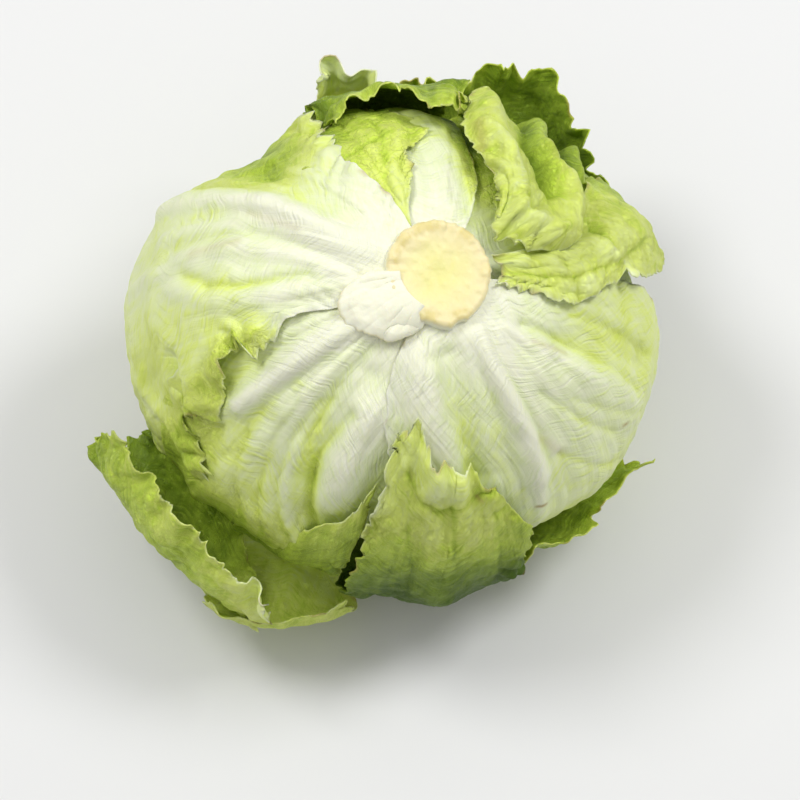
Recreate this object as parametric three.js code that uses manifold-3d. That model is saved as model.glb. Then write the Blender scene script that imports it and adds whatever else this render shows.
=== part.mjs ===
// A head of crisp lettuce, lying stem end up on its crown: a cut stem, a firm heart, and loose outer leaves
// that leave the stem, wrap the head and turn back in ruffled margins.
// Millimetres, +Z up. Every place on the head is given by two angles and a height: theta is the angle from
// the stem's axis, phi the angle round it, and the height is measured along the ray from the head's centre,
// above the reference surface. That surface is what the outermost wrapping leaves lie on.
import * as THREE from "three";
import { mergeVertices } from "three/addons/utils/BufferGeometryUtils.js";
import Module from "manifold-3d";

// Driving dimensions
const HEAD_HALF_WIDTH = 80; // along local x
const HEAD_HALF_DEPTH = 69.5; // along local y
const HEAD_HALF_HEIGHT = 68; // along the stem
const STEM_RADIUS = 15.6;
const STEM_TOP = 72; // cut face, from the head's centre
const STEM_ROOT = 40; // where the stem ends inside the heart
const STEM_BEVEL = 1.3; // worn edge of the cut
const STEM_CLEARANCE = 0.6; // between the stem and the heart round it
const STUB_BASE_THETA = 10; // the stub of a removed leaf starts inside the stem
const STUB_EDGE_THETA = 13; // and this angle is the foot of its free edge
const STUB_HEIGHTS = [6.2, 3.6]; // its upper and lower faces
const STUB_REACH = [6, 11.5, 12, 8, 7.5, 6, 1.5]; // how far it sticks out, in degrees, evenly along it
const LEAF_THICKNESS = 1.2;
const LEAF_GAP = 0.4; // least space between two leaves that cross
const LEAF_SPREAD = 0.012; // and how far that space runs past a margin, as a share of the leaf
const LEAF_BASE_RADIUS = STEM_RADIUS + 0.9; // leaves start just clear of the stem's side
const TILT_RIGHT = 10.6; // the stem leans this far towards +X
const TILT_FRONT = 11; // and this far towards -Y
const HEART_HEIGHT = -14.6; // the heart lies this far below the reference surface
const CROWN_FILL = 10.6; // and rises by this much at the crown, where no leaf covers it
const WRAP_STEP = 1.2; // height of the steps where its leaves overlap
const FLOOR_DEPTH = 60.5; // from the head's centre down to the surface it rests on
const HEAD_X = 5.3; // where the head's centre stands, so that the origin is under the middle of the whole
const HEAD_Y = 0.1;
const BOX_REACH = 400; // larger than the head, for the plane cut under it

const RAD = Math.PI / 180;

function clamp(x, low, high) {
  return Math.min(high, Math.max(low, x));
}

function smooth(x) {
  const t = clamp(x, 0, 1);
  return t * t * (3 - 2 * t);
}

// Catmull-Rom curve through evenly spaced values, running straight on past both ends
function through(values, t) {
  const last = values.length - 1;
  const x = t * last;
  if (x <= 0) return values[0] + x * (values[1] - values[0]);
  if (x >= last) return values[last] + (x - last) * (values[last] - values[last - 1]);
  const i = Math.floor(x);
  const f = x - i;
  const b = values[i];
  const c = values[i + 1];
  const a = i > 0 ? values[i - 1] : 2 * b - c;
  const d = i + 2 <= last ? values[i + 2] : 2 * c - b;
  return b + 0.5 * f * (c - a + f * (2 * a - 5 * b + 4 * c - d + f * (3 * (b - c) + d - a)));
}

function direction(theta, phi) {
  const s = Math.sin(theta * RAD);
  return new THREE.Vector3(s * Math.cos(phi * RAD), s * Math.sin(phi * RAD), Math.cos(theta * RAD));
}

// A long low ridge, or a groove where the height is negative, along a path of [theta, phi]
function ridge(height, width, ...path) {
  return { height, width, points: path.map(([theta, phi]) => direction(theta, phi)) };
}

function ridgesAt(ridges, dir) {
  let sum = 0;
  for (const { height, width, points } of ridges) {
    let nearest = Infinity;
    for (let i = 0; i + 1 < points.length; i++) {
      const along = points[i + 1].clone().sub(points[i]);
      const t = clamp(dir.clone().sub(points[i]).dot(along) / along.lengthSq(), 0, 1);
      nearest = Math.min(nearest, points[i].clone().addScaledVector(along, t).distanceTo(dir));
    }
    const d = (nearest * HEAD_HALF_DEPTH) / width;
    sum += height * Math.exp(-d * d);
  }
  return sum;
}

// Swells and hollows that every layer of the head shares
const HEAD_RELIEF = [
  ridge(-8, 19, [62, 136], [78, 133], [96, 130]), // flat shoulder, upper left
  ridge(-5, 20, [64, 46], [82, 50], [98, 48]), // flat shoulder under the crumpled leaves, upper right
  ridge(2.4, 5, [16, 160], [33, 156], [48, 152], [64, 152], [80, 156]), // rib of the left leaf
  ridge(-1.8, 4, [24, 147], [38, 146], [53, 141], [64, 138]), // crease above that rib
  ridge(-2.5, 9, [50, 206], [64, 209], [80, 212]), // hollow between the left and lower left leaves
  ridge(2.6, 4, [20, 213], [36, 214], [58, 213]), // ribs of the lower left leaf
  ridge(1.4, 3.5, [22, 226], [34, 224], [50, 222]),
  ridge(-2.2, 4, [30, 238], [46, 237], [62, 240]), // groove beside its swollen right half
  ridge(2.8, 7, [38, 247], [52, 247], [62, 250]),
  ridge(2.4, 6, [24, 270], [36, 274], [50, 277]), // left swelling of the right leaf
  ridge(-2, 3.5, [20, 280], [33, 284], [52, 287]), // groove beside it
  ridge(2, 4.5, [18, 302], [36, 303], [58, 304]), // rib of the right leaf
  ridge(-2.2, 6, [36, 338], [48, 345], [64, 350]), // slanting waves at the right
  ridge(1.8, 6, [34, 326], [50, 332], [68, 338]),
];

function radiusAt(dir) {
  const x = dir.x / HEAD_HALF_WIDTH;
  const y = dir.y / HEAD_HALF_DEPTH;
  const z = dir.z / HEAD_HALF_HEIGHT;
  return 1 / Math.sqrt(x * x + y * y + z * z) + ridgesAt(HEAD_RELIEF, dir);
}

function onHead(theta, phi, height) {
  const dir = direction(theta, phi);
  return dir.clone().multiplyScalar(radiusAt(dir) + height);
}

// Leaves, from the outermost inwards. A row is [theta, phi at one side, phi at the other, height], from the
// stem to the tip; "base" is the row at the stem, without its theta. "tip" lists what the far end adds to
// theta and height, evenly across the leaf, from the share "tipFrom" of its length on. "ridges" act from the
// share "ridgesFrom" on. "ruffle" is [height, waves] of the far margin, and "sides" the same of the side
// margins. "grid" is the number of points across and along.
const LEAVES = [
  {
    name: "outer_leaf_left",
    colour: 0xd5e2ae,
    grid: [20, 15],
    base: [118, 204, 2.1],
    rows: [
      [22, 118, 202, 2.1],
      [33, 123, 197, 2.1],
      [44, 121, 203, 2.1],
      [51, 120, 200, 2.1],
      [58, 118, 206, 2.1],
      [66, 116, 212, 2.1],
      [72, 115, 207, 2.1],
      [78, 114, 218, 2.1],
      [86, 112, 221, 2.1],
      [96, 112, 210, 1.6],
      [110, 113, 204, -0.5],
      [134, 118, 198, -6],
    ],
    tip: [[-6, 0], [3, 0], [-3, 0], [5, 0], [-4, 0]],
    tipFrom: 0.8,
    ridges: [ridge(3.4, 6, [44, 201], [56, 204], [68, 207], [82, 215])],
    ruffle: [1, 5],
    sides: [1.2, 6],
    teeth: 2.2,
  },
  {
    name: "outer_leaf_right",
    colour: 0xd8e3b4,
    grid: [20, 14],
    base: [246, 358, 2.1],
    rows: [
      [22, 246, 360, 2.1],
      [34, 251, 364, 2.1],
      [48, 259, 367, 2.1],
      [62, 262, 367, 2.1],
      [76, 265, 365, 2.1],
      [90, 267, 362, 2.1],
      [104, 268, 360, 0.6],
      [120, 272, 358, -3],
    ],
    tip: [[-26, 0], [-26, 0], [-25, 0], [-20, 0], [0, 0], [14, -3], [12, -3]],
    tipFrom: 0.45,
    ridges: [],
    ruffle: [0.7, 7],
    sides: [0.5, 6],
    teeth: 1.4,
  },
  {
    name: "outer_leaf_lower_left",
    colour: 0xd3e0a6,
    grid: [13, 10],
    base: [194, 262, -0.1],
    rows: [
      [26, 192, 262, -0.1],
      [42, 190, 264, -0.1],
      [58, 194, 263, 0.3],
      [72, 198, 260, 1.6],
      [84, 204, 256, 3.6],
      [94, 210, 252, 3.6],
    ],
    tip: [[-5, 0], [0, 0], [-1, 0], [0, 0], [-4, 0]],
    tipFrom: 0.6,
    ridges: [],
    ruffle: [0.3, 4],
    sides: [0.2, 3],
    teeth: 0.8,
  },
  {
    name: "folded_leaf_upper_left",
    colour: 0xb9d455,
    grid: [11, 10],
    base: [114, 130, -0.1],
    rows: [
      [22, 106, 134, -0.1],
      [30, 99, 136, -0.1],
      [38, 97, 136, 0.6],
      [46, 88, 134, 1],
      [57, 94, 130, 0.2],
      [70, 99, 126, -0.1],
      [82, 102, 122, -0.1],
    ],
    tip: [[-3, 0], [2, 0], [-2, 0]],
    tipFrom: 0.6,
    ridges: [],
    ruffle: [0.4, 4],
    sides: [0.5, 5],
    teeth: 1.8,
  },
  {
    name: "midrib_leaf_top",
    colour: 0xe6ebc4,
    grid: [11, 9],
    base: [58, 116, -2.3],
    rows: [
      [22, 61, 116, -2.3],
      [34, 66, 116, -2.3],
      [46, 73, 116, -2.3],
      [58, 76, 116, -2.3],
      [70, 78, 116, -2.3],
      [84, 80, 112, -2.3],
    ],
    tip: [[-2, 0], [2, 0], [-2, 0]],
    tipFrom: 0.6,
    ridges: [ridge(2.2, 8, [12, 84], [25, 85], [38, 86], [50, 88], [62, 90], [76, 92])],
    ruffle: [0.3, 3],
    sides: [0.3, 3],
    teeth: 0.6,
  },
  {
    name: "inner_leaf_upper_right",
    colour: 0xdbe3ac,
    grid: [12, 8],
    base: [-18, 74, -4.5],
    rows: [
      [30, -18, 78, -4.5],
      [48, -16, 82, -4.5],
      [66, -8, 83, -4.5],
      [82, -2, 84, -4.5],
    ],
    tip: [[-2, 0], [2, 0], [-2, 0]],
    tipFrom: 0.6,
    ridges: [],
    ruffle: [0.3, 4],
    sides: [0.2, 3],
    teeth: 0.6,
  },
  {
    name: "crumpled_leaf_upper_right",
    colour: 0x9fc246,
    grid: [16, 18],
    base: [40, 74, -6.7],
    rows: [
      [40, 40, 76, -6.7],
      [66, 41, 79, -6.7],
      [84, 41, 79, -6.2],
      [92, 38, 77, -1],
      [92, 36, 75, 5],
      [83, 35, 74, 6.5],
      [73, 34, 74, 6],
      [62, 34, 75, 5.5],
      [51, 34, 76, 5],
      [40, 27, 76, 4.5],
      [30, 17, 66, 4],
      [20, 19, 50, 3.5],
    ],
    tip: [[3, -1], [0, 0], [-3, 0], [-1, 0], [4, -1]],
    tipFrom: 0.8,
    ridges: [
      ridge(5.5, 5, [62, 71], [45, 69], [36, 61], [29, 50], [25, 39], [27, 26]),
      ridge(-3.5, 3, [80, 63], [66, 61], [51, 55], [44, 46], [40, 40]),
      ridge(5.5, 4.4, [80, 57], [59, 57], [48, 48], [43, 37], [38, 29], [32, 23]),
      ridge(-3, 2.4, [78, 52], [66, 48], [55, 40]),
      ridge(5, 3, [84, 46], [70, 47], [57, 41]),
    ],
    ridgesFrom: 0.42,
    ruffle: [0.8, 4],
    sides: [0.8, 5],
    teeth: 1.4,
  },
  {
    name: "folded_leaf_right",
    colour: 0xa9ca4c,
    grid: [12, 16],
    base: [-6, 18, -6.7],
    rows: [
      [45, -4, 22, -6.7],
      [72, 0, 28, -6.7],
      [86, 10, 32, -6.2],
      [93, 16, 34, -2],
      [92, 20, 37, 3.4],
      [83, 19, 38, 5.6],
      [72, 15, 38, 7],
      [60, 8, 38, 7.8],
      [50, 7, 35, 6.6],
      [41, 0, 28, 5],
      [33, -7, 22, 4],
      [25, -7, 20, 3.4],
      [17, -8, 20, 3.4],
    ],
    tip: [[-3, 0], [-1, 0], [-3, 0]],
    tipFrom: 0.8,
    ridges: [ridge(1.6, 5, [78, 24], [60, 22], [44, 14]), ridge(1.4, 4, [28, 10], [35, 7], [40, 0])],
    ridgesFrom: 0.4,
    ruffle: [0.6, 3],
    sides: [0.8, 6],
    teeth: 2.4,
  },
  {
    name: "frilled_leaf_top",
    colour: 0x93b840,
    grid: [15, 11],
    base: [86, 110, -6.7],
    rows: [
      [45, 87, 111, -6.7],
      [70, 85, 111, -6.7],
      [84, 83, 111, -6.2],
      [91, 80, 112, -2],
      [90, 78, 113, 3],
      [82, 77, 114, 6.4],
      [72, 77, 115, 7.6],
      [62, 78, 115, 9],
    ],
    tip: [[-12, 0], [-16, 1], [-15, 0], [-7, 0], [-3, -2], [-4, -4], [-7, -6]],
    tipFrom: 0.45,
    ridges: [],
    ruffle: [0.8, 5],
    sides: [0.8, 4],
    teeth: 1.8,
  },
  {
    name: "flared_leaf_top",
    colour: 0x7ea534,
    grid: [22, 11],
    base: [40, 110, -8.9],
    rows: [
      [45, 38, 110, -8.9],
      [70, 36, 108, -8.9],
      [86, 34, 106, -8.9],
      [97, 33, 106, -5],
      [102, 32, 106, 4],
      [98, 31, 106, 12],
      [89, 31, 106, 14.5],
    ],
    tip: [
      [-2, -6], [-4, -4], [-2, -3], [-1, -1], [-4, 5], [-2, 7], [-3, 10], [-4, 13], [-2, 11], [-4, 8],
      [-2, 3], [-3, 0], [-1, -2], [-3, -3], [-1, -4], [-3, -5], [-1, -1], [-2, 3], [-3, -1],
    ],
    tipFrom: 0.55,
    ridges: [],
    ruffle: [0.6, 9],
    sides: [1, 4],
    teeth: 2.6,
  },
  {
    name: "rim_leaf_lower_right",
    colour: 0x9abf45,
    grid: [15, 15],
    base: [260, 298, -4.5],
    rows: [
      [45, 260, 298, -4.5],
      [74, 260, 298, -4.5],
      [94, 260, 298, -4.5],
      [104, 260, 298, -2],
      [110, 260, 299, 4.5],
      [106, 260, 300, 9.5],
      [96, 260, 300, 9.5],
      [84, 259, 300, 8],
      [72, 258, 300, 7],
      [60, 258, 300, 6.4],
    ],
    tip: [[-22, 0], [-26, 0], [-19, 0], [-15, 0], [-14, 0], [-10, 0], [-2, 0], [12, 0]],
    tipFrom: 0.7,
    ridges: [ridge(4, 9, [112, 283], [104, 283], [96, 282])],
    ridgesFrom: 0.35,
    ruffle: [0.7, 5],
    sides: [0.7, 5],
    teeth: 2,
  },
  {
    name: "rim_leaf_lower_left",
    colour: 0xa8c85a,
    grid: [10, 13],
    base: [236, 257, -4.5],
    rows: [
      [45, 234, 257, -4.5],
      [74, 232, 257, -4.5],
      [92, 231, 257, -4.5],
      [101, 230, 258, -3],
      [107, 230, 258, 1],
      [104, 231, 258, 5],
      [96, 232, 258, 5.4],
      [88, 233, 257, 4.4],
    ],
    tip: [[4, -5], [3, -5], [-5, -3], [-16, 0], [-22, 0], [-35, 0]],
    tipFrom: 0.6,
    ridges: [],
    ruffle: [0.2, 4],
    sides: [0.2, 3],
    teeth: 0.8,
  },
  {
    name: "rim_leaf_bottom",
    colour: 0x9dc04a,
    grid: [11, 11],
    base: [240, 257, -6.7],
    rows: [
      [45, 238, 257, -6.7],
      [74, 234, 257, -6.7],
      [96, 230, 260, -6.7],
      [108, 230, 264, -2],
      [116, 232, 266, 8],
      [115, 234, 266, 19],
      [108, 236, 264, 24],
      [101, 237, 262, 22],
    ],
    tip: [[0, 5], [0, 5], [-1, 2], [-2, -3], [-2, -9]],
    tipFrom: 0.5,
    ridges: [],
    ruffle: [0.5, 3],
    sides: [0.4, 3],
    teeth: 1.2,
  },
  {
    name: "rim_leaf_right",
    colour: 0x7fa838,
    grid: [12, 9],
    base: [301, 332, -6.7],
    rows: [
      [45, 301, 333, -6.7],
      [74, 301, 333, -6.7],
      [95, 302, 333, -6.7],
      [107, 302, 334, -4],
      [109, 301, 335, 0],
      [104, 300, 336, 3.6],
      [97, 300, 336, 4.6],
    ],
    tip: [[-4, 2], [-8, 2], [-5, 3], [-4, 6], [-2, 3], [-4, 2.5], [-4, 2.5], [-8, 5]],
    tipFrom: 0.6,
    ridges: [],
    ruffle: [0.7, 4],
    sides: [0.6, 3],
    teeth: 2,
  },
  {
    name: "flared_leaf_lower_left",
    colour: 0x8bb03c,
    grid: [16, 13],
    base: [206, 234, -4.5],
    rows: [
      [45, 204, 233, -4.5],
      [74, 202, 231, -4.5],
      [94, 201, 231, -4.5],
      [105, 201, 232, -1],
      [111, 201, 239, 9],
      [110, 200, 244, 20],
      [103, 200, 247, 24],
      [95, 200, 247, 22],
      [89, 202, 246, 17],
    ],
    tip: [[2, -7], [0, -4], [-4, -2], [-2, 1], [1, 2]],
    tipFrom: 0.45,
    ridges: [],
    ruffle: [1.4, 6],
    sides: [1, 4],
    teeth: 2.2,
  },
  {
    name: "wrapper_leaf_front",
    colour: 0xc2d68c,
    grid: [15, 10],
    base: [192, 346, -11.2],
    rows: [
      [45, 190, 348, -11.2],
      [75, 190, 350, -11.2],
      [95, 190, 350, -11.2],
      [112, 193, 350, -10.4],
      [130, 197, 348, -9],
      [148, 201, 344, -8],
    ],
    tip: [[-6, 0], [2, 0], [-3, 0], [2, 0], [-3, 0], [1, 0], [-6, 0]],
    tipFrom: 0.6,
    ridges: [],
    ruffle: [0.5, 8],
    sides: [0.5, 5],
    teeth: 1.4,
  },
  {
    name: "wrapper_leaf_back",
    colour: 0xc6d992,
    grid: [14, 10],
    base: [2, 134, -11.2],
    rows: [
      [45, 2, 136, -11.2],
      [75, 2, 136, -11.2],
      [95, 2, 136, -11.2],
      [112, 2, 136, -10.4],
      [130, 4, 134, -9],
      [150, 10, 130, -8],
    ],
    tip: [[-6, 0], [2, 0], [-3, 0], [2, 0], [-3, 0], [1, 0], [-6, 0]],
    tipFrom: 0.6,
    ridges: [],
    ruffle: [0.5, 8],
    sides: [0.5, 5],
    teeth: 1.4,
  },
];

// One saw-like wave, from -1 to 1, with uneven teeth that are the same on every run
function toothWave(x, seed) {
  return 0.6 * Math.sin(x * 2.1 + seed) + 0.4 * Math.sin(x * 4.7 + 1.7 * seed);
}

// The leaf's middle surface, with u across it and v along it, both from 0 to 1
function leafPoint(leaf, index, u, v) {
  const { rows, tip, tipFrom, teeth } = leaf;
  const baseHeight = leaf.base[2];
  const baseTheta = Math.asin(LEAF_BASE_RADIUS / (HEAD_HALF_HEIGHT + baseHeight)) / RAD;
  const all = [[baseTheta, ...leaf.base], ...rows];
  const nearTip = smooth((v - tipFrom) / (1 - tipFrom));
  const nearSide = smooth((Math.abs(2 * u - 1) - 0.7) / 0.3) * smooth((v - 0.15) / 0.2);
  const vOut = v + nearTip * (teeth / 100) * toothWave(u * 26, index);
  const side = Math.sign(u - 0.5) * nearSide * (teeth / 100) * toothWave(v * 22, index + 3);
  const theta = through(all.map((r) => r[0]), vOut) + nearTip * through(tip.map((t) => t[0]), u);
  const phiA = through(all.map((r) => r[1]), vOut);
  const phiB = through(all.map((r) => r[2]), vOut);
  const phi = phiA + (phiB - phiA) * (u + side);
  const height = through(all.map((r) => r[3]), vOut) + nearTip * through(tip.map((t) => t[1]), u);
  const [ruffle, ruffleWaves] = leaf.ruffle;
  const [sideRuffle, sideWaves] = leaf.sides;
  const margin = smooth((v - 0.82) / 0.18) * ruffle * Math.sin(u * ruffleWaves * 2 * Math.PI + index);
  const edge = nearSide * sideRuffle * Math.sin(v * sideWaves * 2 * Math.PI + index);
  const dir = direction(theta, phi);
  const folds = smooth((v - (leaf.ridgesFrom ?? 0)) * 8) * ridgesAt(leaf.ridges, dir);
  return dir.clone().multiplyScalar(radiusAt(dir) + height + margin + edge + folds);
}

function surfaceNormal(leaf, index, u, v) {
  const step = 0.01;
  const across = leafPoint(leaf, index, u + step, v).sub(leafPoint(leaf, index, u - step, v));
  const along = leafPoint(leaf, index, u, v + step).sub(leafPoint(leaf, index, u, v - step));
  return along.cross(across).normalize();
}

function indexedGeometry(positions, indices) {
  const geometry = new THREE.BufferGeometry();
  geometry.setAttribute("position", new THREE.Float32BufferAttribute(positions, 3));
  geometry.setIndex(indices);
  return geometry;
}

// A closed sheet of even thickness round the leaf's middle surface, carried on past its margins by "spread"
function leafGeometry(leaf, index, thickness, spread) {
  const [across, along] = leaf.grid;
  const positions = [];
  for (const side of [0.5, -0.5]) {
    for (let i = 0; i < across; i++) {
      for (let j = 0; j < along; j++) {
        const u = (1 + 2 * spread) * (i / (across - 1)) - spread;
        const v = (1 + 2 * spread) * (j / (along - 1)) - spread;
        const p = leafPoint(leaf, index, u, v);
        p.addScaledVector(surfaceNormal(leaf, index, u, v), side * thickness);
        positions.push(p.x, p.y, p.z);
      }
    }
  }
  const under = across * along;
  const at = (i, j) => i * along + j;
  const indices = [];
  for (let i = 0; i + 1 < across; i++) {
    for (let j = 0; j + 1 < along; j++) {
      const [a, b, c, d] = [at(i, j), at(i + 1, j), at(i + 1, j + 1), at(i, j + 1)];
      indices.push(a, c, b, a, d, c);
      indices.push(under + a, under + b, under + c, under + a, under + c, under + d);
    }
  }
  const rim = [];
  for (let i = 0; i + 1 < across; i++) rim.push(at(i, 0));
  for (let j = 0; j + 1 < along; j++) rim.push(at(across - 1, j));
  for (let i = across - 1; i > 0; i--) rim.push(at(i, along - 1));
  for (let j = along - 1; j > 0; j--) rim.push(at(0, j));
  rim.forEach((a, k) => {
    const b = rim[(k + 1) % rim.length];
    indices.push(a, b, under + b, a, under + b, under + a);
  });
  return indexedGeometry(positions, indices);
}

// The heart's own leaves show as overlapping steps on its surface
function heartHeight(theta, phi) {
  const crown = CROWN_FILL * smooth((theta - 138) / 34);
  const wrap = WRAP_STEP * smooth(Math.sin((phi + 2.2 * theta) * 3 * RAD) * 2.5);
  return HEART_HEIGHT + crown + wrap * smooth((theta - 90) / 30);
}

function heartGeometry() {
  const around = 32;
  const rings = 16;
  const positions = [];
  const indices = [];
  for (let j = 1; j < rings; j++) {
    const theta = (180 * j) / rings;
    for (let i = 0; i < around; i++) {
      const phi = (360 * i) / around;
      const p = onHead(theta, phi, heartHeight(theta, phi));
      positions.push(p.x, p.y, p.z);
    }
  }
  const top = positions.length / 3;
  const bottom = top + 1;
  for (const theta of [0, 180]) {
    const p = onHead(theta, 0, heartHeight(theta, 0));
    positions.push(p.x, p.y, p.z);
  }
  const at = (j, i) => (j - 1) * around + (i % around);
  for (let i = 0; i < around; i++) {
    indices.push(top, at(1, i), at(1, i + 1));
    indices.push(bottom, at(rings - 1, i + 1), at(rings - 1, i));
    for (let j = 1; j + 1 < rings; j++) {
      indices.push(at(j, i), at(j + 1, i), at(j + 1, i + 1));
      indices.push(at(j, i), at(j + 1, i + 1), at(j, i + 1));
    }
  }
  return indexedGeometry(positions, indices);
}

const wasm = await Module();
wasm.setup();

function toSolid(geometry) {
  const bare = geometry.index ? geometry.toNonIndexed() : geometry.clone();
  bare.deleteAttribute("normal");
  bare.deleteAttribute("uv");
  const merged = mergeVertices(bare, 1e-4);
  return new wasm.Manifold(
    new wasm.Mesh({
      numProp: 3,
      vertProperties: new Float32Array(merged.attributes.position.array),
      triVerts: new Uint32Array(merged.index.array),
    }),
  );
}

function toGeometry(solid) {
  const mesh = solid.getMesh();
  const geometry = new THREE.BufferGeometry();
  geometry.setAttribute("position", new THREE.BufferAttribute(new Float32Array(mesh.vertProperties), 3));
  geometry.setIndex(new THREE.BufferAttribute(new Uint32Array(mesh.triVerts), 1));
  return geometry;
}

const lean = new THREE.Matrix4()
  .makeRotationX(TILT_FRONT * RAD)
  .multiply(new THREE.Matrix4().makeRotationY(TILT_RIGHT * RAD));

// The stem: a round butt cut flat, with the thick stub of a removed leaf still on its side
function stemGeometry() {
  const profile = [
    [0, STEM_ROOT],
    [STEM_RADIUS, STEM_ROOT],
    [STEM_RADIUS, STEM_TOP - STEM_BEVEL],
    [STEM_RADIUS - STEM_BEVEL, STEM_TOP],
    [0, STEM_TOP],
  ];
  const butt = new THREE.LatheGeometry(profile.map(([r, z]) => new THREE.Vector2(r, z)), 40);
  butt.rotateX(Math.PI / 2);
  return toSolid(butt);
}

// Corners in the order: upper face from one end to the other, inner then outer edge, and the lower face alike
function stubGeometry(fromPhi, toPhi) {
  const steps = 11;
  const low = STUB_HEIGHTS[1];
  const positions = [];
  for (const height of STUB_HEIGHTS) {
    for (let i = 0; i < steps; i++) {
      const share = i / (steps - 1);
      const phi = fromPhi + (toPhi - fromPhi) * share;
      const inner = onHead(STUB_BASE_THETA, phi, height);
      const outer = onHead(STUB_EDGE_THETA + through(STUB_REACH, share), phi, height - 0.3 * (height - low));
      positions.push(inner.x, inner.y, inner.z, outer.x, outer.y, outer.z);
    }
  }
  const under = steps * 2;
  const indices = [];
  for (let i = 0; i + 1 < steps; i++) {
    const [a, b, c, d] = [2 * i, 2 * i + 1, 2 * i + 3, 2 * i + 2];
    indices.push(a, b, c, a, c, d);
    indices.push(under + a, under + c, under + b, under + a, under + d, under + c);
    indices.push(b, under + b, under + c, b, under + c, c);
    indices.push(a, d, under + d, a, under + d, under + a);
  }
  const end = 2 * (steps - 1);
  indices.push(0, under, under + 1, 0, under + 1, 1);
  indices.push(end, end + 1, under + end + 1, end, under + end + 1, under + end);
  return toSolid(indexedGeometry(positions, indices));
}

const head = new THREE.Group();
head.applyMatrix4(lean);
head.position.set(HEAD_X, HEAD_Y, FLOOR_DEPTH);

function addMesh(name, geometry, colour) {
  const material = new THREE.MeshStandardMaterial({ color: colour, roughness: 0.5, metalness: 0 });
  const mesh = new THREE.Mesh(geometry, material);
  mesh.name = name;
  head.add(mesh);
}

addMesh("stem", toGeometry(stemGeometry().add(stubGeometry(184, 264))), 0xf3ecc0);

// The heart is cut by the plane that the head rests on, and leaves room for the stem
const floor = toSolid(
  new THREE.BoxGeometry(BOX_REACH, BOX_REACH, BOX_REACH)
    .translate(0, 0, -FLOOR_DEPTH - BOX_REACH / 2)
    .applyMatrix4(lean.clone().invert()),
);
const stemRoom = toSolid(
  new THREE.CylinderGeometry(STEM_RADIUS + STEM_CLEARANCE, STEM_RADIUS + STEM_CLEARANCE, STEM_TOP, 40)
    .rotateX(Math.PI / 2)
    .translate(0, 0, STEM_ROOT - STEM_CLEARANCE + STEM_TOP / 2),
);
addMesh("heart", toGeometry(toSolid(heartGeometry()).subtract(floor).subtract(stemRoom)), 0xd9e2a4);

// A leaf that would pass through one further out is cut away there, and keeps its largest piece
const placed = [];
LEAVES.forEach((leaf, index) => {
  let solid = toSolid(leafGeometry(leaf, index, LEAF_THICKNESS, 0));
  for (const outer of placed) {
    if (solid.intersect(outer.solid).isEmpty()) continue;
    const pieces = solid.subtract(outer.room).decompose();
    solid = pieces.reduce((a, b) => (b.volume() > a.volume() ? b : a));
  }
  const [room, pastMargins] = [0, LEAF_SPREAD].map((spread) =>
    toSolid(leafGeometry(leaf, index, LEAF_THICKNESS + 2 * LEAF_GAP, spread)),
  );
  placed.push({ solid, room: room.add(pastMargins) });
  addMesh(leaf.name, toGeometry(solid), leaf.colour);
});

export default head;
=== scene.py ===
# A head of crisp lettuce lying stem end up: fine leaves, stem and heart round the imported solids.
import math

import bpy
import numpy as np
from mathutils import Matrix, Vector


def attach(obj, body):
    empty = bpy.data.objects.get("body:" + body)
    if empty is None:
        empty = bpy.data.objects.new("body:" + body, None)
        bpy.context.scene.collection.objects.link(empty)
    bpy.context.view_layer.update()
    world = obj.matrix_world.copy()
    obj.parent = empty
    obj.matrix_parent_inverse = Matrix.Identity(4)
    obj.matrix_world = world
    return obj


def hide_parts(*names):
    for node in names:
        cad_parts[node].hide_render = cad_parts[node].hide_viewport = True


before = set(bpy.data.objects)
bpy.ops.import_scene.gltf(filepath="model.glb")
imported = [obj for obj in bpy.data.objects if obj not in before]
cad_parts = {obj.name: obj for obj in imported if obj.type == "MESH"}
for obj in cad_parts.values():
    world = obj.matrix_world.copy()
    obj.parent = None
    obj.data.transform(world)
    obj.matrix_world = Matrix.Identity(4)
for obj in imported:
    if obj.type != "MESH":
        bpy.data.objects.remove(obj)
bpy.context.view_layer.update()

# Driving dimensions, in millimetres and degrees, as the solids have them
HEAD_HALF_WIDTH = 80
HEAD_HALF_DEPTH = 69.5
HEAD_HALF_HEIGHT = 68
STEM_RADIUS = 15.6
STEM_TOP = 72
LEAF_BASE_RADIUS = STEM_RADIUS + 0.9
TILT_RIGHT = 10.6
TILT_FRONT = 11
HEAD_AT = (5.3, 0.1, 60.5)
SHEET = 0.95  # thickness of a leaf away from its margins
SHEET_AT_MARGIN = 0.4
HEART_HEIGHT = -14.6  # over the head's ellipsoid, as every leaf's height is
CROWN_FILL = 10.6  # how much higher the heart is at the crown, which no leaf covers
WRAP_STEP = 1.2  # height of the leaf edges that wind round the heart's lower half
NOISE_RADIUS = 70  # of the ball on which dimples and blisters of the head are laid out
TEETH_BAND = 7  # how far in from a margin its teeth, curls and waves fade out
CURL_BAND = 13
WAVE_BAND = 15
WAVE_LENGTH = 12
VEIN_SLANT = 0.45  # how far a vein runs along its leaf for each millimetre across
FAR_FROM_MARGIN = 9
MM = 0.001


def smooth(x):
    t = np.clip(x, 0, 1)
    return t * t * (3 - 2 * t)


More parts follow.
